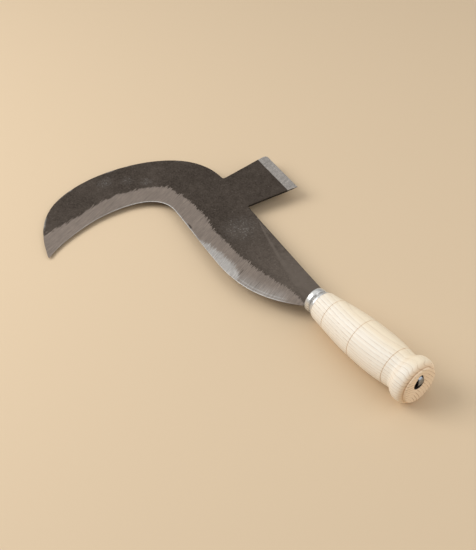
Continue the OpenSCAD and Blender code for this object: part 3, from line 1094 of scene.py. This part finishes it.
# The stage is set out in metres, round pieces that are already scaled
# Camera, as the photograph was taken
CAMERA_AT = Vector((-346.596, 425.723, 686.249)) * MM
CAMERA_AHEAD = Vector((0.5734156, -0.40645962, -0.71132632))
CAMERA_UP = Vector((0.53324988, -0.47398269, 0.70070319))
SENSOR_HIGH = 36.0
# Floor that the tool rests on
FLOOR_UP = Vector((-0.04205416, -0.03687346, 0.99843467))
FLOOR_LEVEL = -23.2 * MM
FLOOR_HALF = 4.0
# Softboxes round the lit place: (setting of the power, angle off the view, height, distance, width)
LIT_AT = Vector((220.0, 20.0, 0.0)) * MM
SOFTBOXES = (
    ("key", -87.0, 42.0, 1.4, 0.9),
    ("top", -20.0, 70.0, 1.5, 1.5),
    ("side", 106.0, 33.0, 1.5, 1.5))


def stage_axes():
    """Away from the camera, to its right, and up from the floor."""
    away = (CAMERA_AHEAD - FLOOR_UP * CAMERA_AHEAD.dot(FLOOR_UP)).normalized()
    return away, away.cross(FLOOR_UP), FLOOR_UP


def basis(x, y, z, at):
    """Matrix with the given axes and place."""
    return Matrix.Translation(at) @ Matrix((x, y, z)).transposed().to_4x4()


def add_softbox(name, power, side, lift, distance, wide):
    """Square light that faces the object from an angle off the view and a height, in degrees."""
    away, right, up = stage_axes()
    level = math.cos(math.radians(lift))
    toward = away * (level * math.cos(math.radians(side)))
    toward += right * (level * math.sin(math.radians(side)))
    toward += up * math.sin(math.radians(lift))
    light = bpy.data.lights.new(name, 'AREA')
    light.shape = 'SQUARE'
    light.size = wide
    light.energy = power
    box = bpy.data.objects.new(name, light)
    box.location = LIT_AT + toward * distance
    box.rotation_euler = toward.to_track_quat('Z', 'Y').to_euler()
    bpy.context.collection.objects.link(box)


def add_floor(shade):
    away, right, up = stage_axes()
    bm = bmesh.new()
    bmesh.ops.create_grid(
        bm, x_segments=1, y_segments=1, size=FLOOR_HALF, matrix=basis(away, -right, up, up * FLOOR_LEVEL))
    mesh = bpy.data.meshes.new("floor")
    bm.to_mesh(mesh)
    bm.free()
    finish = Finish("plain_floor")
    finish.set(Base_Color=shade, Roughness=0.8)
    mesh.materials.append(finish.material)
    floor = bpy.data.objects.new("floor", mesh)
    bpy.context.collection.objects.link(floor)


def add_camera(lens):
    camera = bpy.data.cameras.new("camera")
    camera.sensor_fit = 'VERTICAL'
    camera.sensor_height = SENSOR_HIGH
    camera.lens = lens
    view = bpy.data.objects.new("camera", camera)
    view.matrix_world = basis(CAMERA_AHEAD.cross(CAMERA_UP), CAMERA_UP, -CAMERA_AHEAD, CAMERA_AT)
    bpy.context.collection.objects.link(view)
    bpy.context.scene.camera = view


class BILLHOOK_OT_stage(bpy.types.Operator):
    """Plain floor, soft studio light and the camera"""
    bl_idname = "billhook.stage"
    bl_label = "Add Stage"

    def execute(self, context):
        stage = context.scene.billhook.stage
        add_floor(stage.floor)
        add_camera(stage.lens)
        for name, side, lift, distance, wide in SOFTBOXES:
            add_softbox(f"{name}_softbox", getattr(stage, name), side, lift, distance, wide)
        world = bpy.data.worlds.new("even_light")
        world.use_nodes = True
        sky = world.node_tree.nodes["Background"]
        sky.inputs["Color"].default_value = (1.0, 1.0, 1.0, 1.0)
        sky.inputs["Strength"].default_value = stage.sky
        context.scene.world = world
        context.scene.view_settings.view_transform = 'Standard'
        return {'FINISHED'}


# Panel and run

class BILLHOOK_PT_panel(bpy.types.Panel):
    """Lists the pieces and their settings"""
    bl_idname = "BILLHOOK_PT_panel"
    bl_label = "Billhook"
    bl_space_type = 'VIEW_3D'
    bl_region_type = 'UI'
    bl_category = "Billhook"

    def draw(self, context):
        for operator in OPERATORS:
            box = self.layout.box()
            box.operator(operator.bl_idname)
            group = getattr(context.scene.billhook, operator.bl_idname.split(".")[1])
            for name in group.bl_rna.properties.keys():
                if name not in {"rna_type", "name"}:
                    box.prop(group, name)


OPERATORS = (BILLHOOK_OT_stage, BILLHOOK_OT_blade, BILLHOOK_OT_ferrule, BILLHOOK_OT_handle)
CLASSES = (
    BladeSettings, FerruleSettings, HandleSettings, StageSettings, BillhookSettings,
    *OPERATORS, BILLHOOK_PT_panel)


def register():
    for each in CLASSES:
        bpy.utils.register_class(each)
    bpy.types.Scene.billhook = bpy.props.PointerProperty(
        type=BillhookSettings, name="Billhook", description="Sizes and colours of the billhook")


def unregister():
    del bpy.types.Scene.billhook
    for each in reversed(CLASSES):
        bpy.utils.unregister_class(each)


def main():
    register()
    bpy.ops.billhook.stage()
    bpy.ops.billhook.blade()
    bpy.ops.billhook.ferrule()
    bpy.ops.billhook.handle()


if __name__ == "__main__":
    main()
